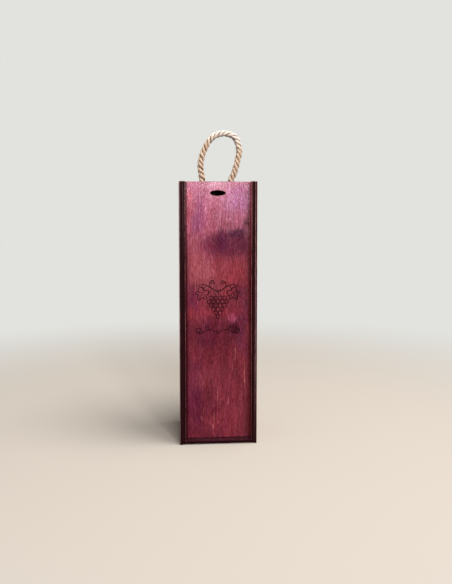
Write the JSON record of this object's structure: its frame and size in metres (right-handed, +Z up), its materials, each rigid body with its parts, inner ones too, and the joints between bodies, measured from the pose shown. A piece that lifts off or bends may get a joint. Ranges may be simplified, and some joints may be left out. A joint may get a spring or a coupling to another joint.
{
  "type": "wooden wine box",
  "caption": "Tall laser-cut plywood box for one wine bottle, with a front lid that slides up out of its grooves and a rope loop handle on top.",
  "frame": {"origin": "on the floor, under the middle of the box", "axes": "+Z up along the box's height, -Y towards the front with the sliding lid, +X to the right as seen from the front"},
  "size_m": [0.1, 0.1, 0.412],
  "materials": {
    "stained_plywood": "birch plywood with a dark cherry stain under satin varnish, its cut edges charred",
    "stained_strip": "the same plywood in narrow strips, mostly charred edge",
    "stained_lid": "the same stain on a lid with an upright grain, satin varnish",
    "twisted_rope": "pale three-strand twisted rope with a slight sheen"
  },
  "bodies": {
    "box": {"left_side_panel": "stained_plywood", "right_side_panel": "stained_plywood", "back_panel": "stained_plywood", "bottom_panel": "stained_plywood", "top_panel": "stained_plywood", "left_front_strip": "stained_strip", "right_front_strip": "stained_strip", "left_guide_strip": "stained_strip", "right_guide_strip": "stained_strip", "left_rope_end": "twisted_rope", "right_rope_end": "twisted_rope"},
    "lid": {"sliding_lid": "stained_lid"},
    "handle": {"rope_handle": "twisted_rope"}
  },
  "joints": [
    {"name": "lid_slide", "type": "slide", "parent": "box", "child": "lid", "axis": [0, 0, 1], "range_m": [0, 0.345]},
    {"name": "handle_fold", "type": "hinge", "parent": "box", "child": "handle", "pos_m": [0, 0.00815, 0.3465], "axis": [-1, 0, 0], "range_deg": [-30, 85], "stiffness_Nm_per_rad": 0.03}
  ]
}
